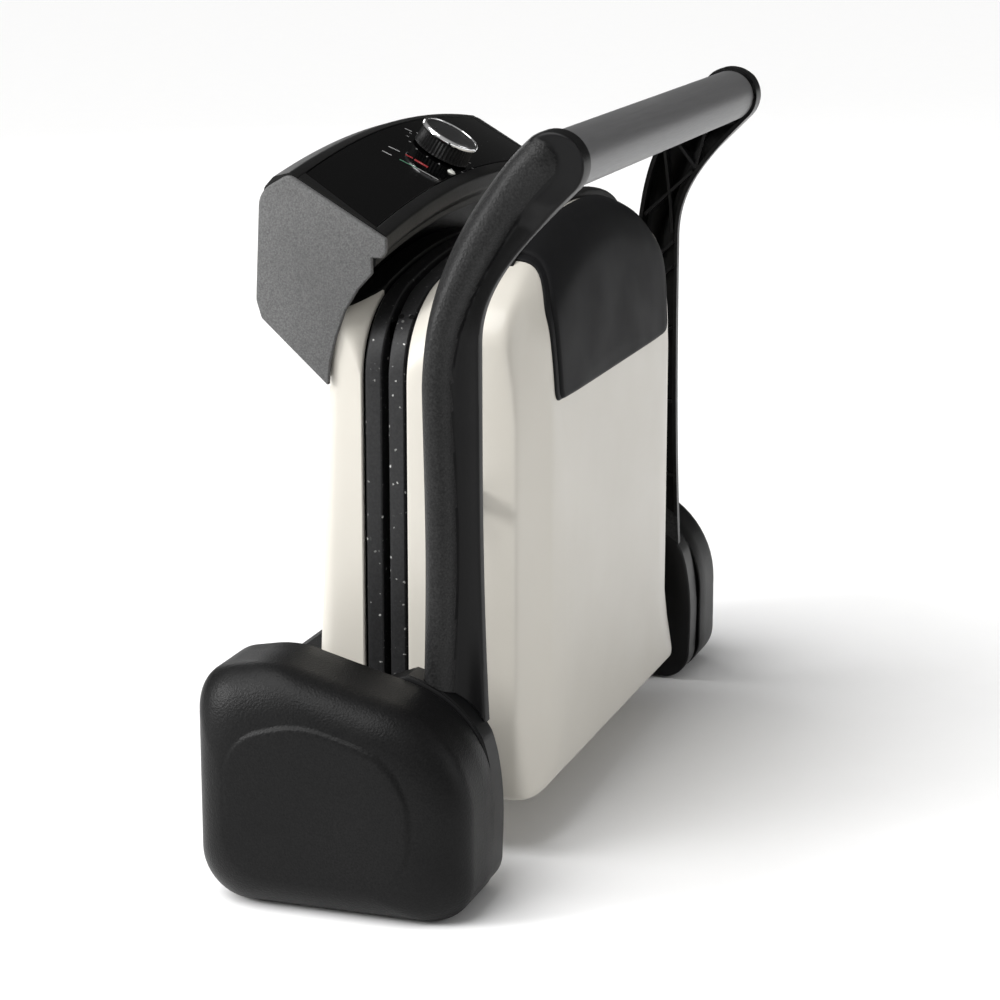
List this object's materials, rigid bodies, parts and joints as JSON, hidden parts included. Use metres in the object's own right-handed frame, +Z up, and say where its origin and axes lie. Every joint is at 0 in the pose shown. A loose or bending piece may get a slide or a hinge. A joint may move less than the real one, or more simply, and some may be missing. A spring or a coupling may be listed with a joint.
{
  "type": "waffle maker",
  "caption": "Upright-stored waffle maker: cream shells around non-stick plates, swinging tube handle on side arms, round-backed side hinges, dial with heat control.",
  "frame": {"origin": "middle of the underside of the closed appliance as it stands upright on its side covers", "axes": "+Z up in upright storage, X along the handle tube, -Y the lid's outer face, +Y the underside with the feet used on a table"},
  "size_m": [0.438, 0.1606, 0.3269],
  "materials": {
    "cream_gloss": "smooth semi-gloss cream",
    "black_textured": "fine-grained charcoal",
    "grey_textured": "fine-grained mid charcoal",
    "granite_coat": "speckled non-stick coat on cast aluminium",
    "steel": "plain zinc or steel",
    "aluminised": "bright pressed sheet",
    "panel_gloss": "mirror-gloss black",
    "lamp_lens": "clear-white lens",
    "lamp_glass": "neon indicator",
    "ivory_plastic": "moulded",
    "chrome": "polished",
    "knob_face": "satin with spun lines",
    "rubber": "matt",
    "bush_nylon": "natural nylon",
    "tube_metal": "satin brushed, grey anodised"
  },
  "bodies": {
    "base": {"base_cover": "black_textured", "base_shell": "cream_gloss", "cable_gland": "rubber", "control_housing": "black_textured", "control_panel": "panel_gloss", "cover_screw_1": "steel", "cover_screw_2": "steel", "cover_screw_3": "steel", "cover_screw_4": "steel", "crossmember": "black_textured", "end_cap_left": "grey_textured", "end_cap_right": "grey_textured", "friction_washer_left": "steel", "friction_washer_right": "steel", "front_foot_left": "rubber", "front_foot_right": "rubber", "hinge_bracket_left": "steel", "hinge_bracket_right": "steel", "hinge_pin_left": "steel", "hinge_pin_right": "steel", "lamp_body": "lamp_glass", "lamp_lens": "lamp_lens", "lower_heater": "steel", "lower_plate": "granite_coat", "lower_reflector": "aluminised", "rear_deck": "black_textured", "rear_foot_left": "rubber", "rear_foot_right": "rubber", "side_cover_left": "black_textured", "side_cover_right": "black_textured", "terminal_block": "ivory_plastic", "thermal_fuse": "steel", "thermostat": "steel"},
    "handle": {"arm_left": "black_textured", "arm_right": "black_textured", "hub_left": "black_textured", "hub_right": "black_textured", "handle_tube": "tube_metal", "tube_plug_left": "black_textured", "tube_plug_right": "black_textured", "lid_pin_left": "steel", "lid_pin_right": "steel", "hinge_bush_left": "bush_nylon", "hinge_bush_right": "bush_nylon"},
    "lid": {"lid_shell": "cream_gloss", "lid_front_cover": "grey_textured", "lid_inner_frame": "black_textured", "upper_plate": "granite_coat", "upper_heater": "steel", "upper_reflector": "aluminised", "lid_bracket_left": "steel", "lid_bracket_right": "steel", "lid_grip": "black_textured"},
    "dial": {"knob": "black_textured", "knob_ring": "chrome", "knob_face": "knob_face", "knob_shaft": "steel"}
  },
  "joints": [
    {"name": "handle_hinge", "type": "hinge", "parent": "base", "child": "handle", "pos_m": [0, 0.002, 0.046], "axis": [1, 0, 0], "range_deg": [0, 96]},
    {"name": "lid_tilt", "type": "hinge", "parent": "handle", "child": "lid", "pos_m": [0, -0.02, 0.165], "axis": [1, 0, 0], "range_deg": [-1.5, 1.5]},
    {"name": "dial_turn", "type": "hinge", "parent": "base", "child": "dial", "pos_m": [0, 0.03619, 0.29671], "axis": [0, -0.4972, 0.8676], "range_deg": [-270, 0]}
  ]
}
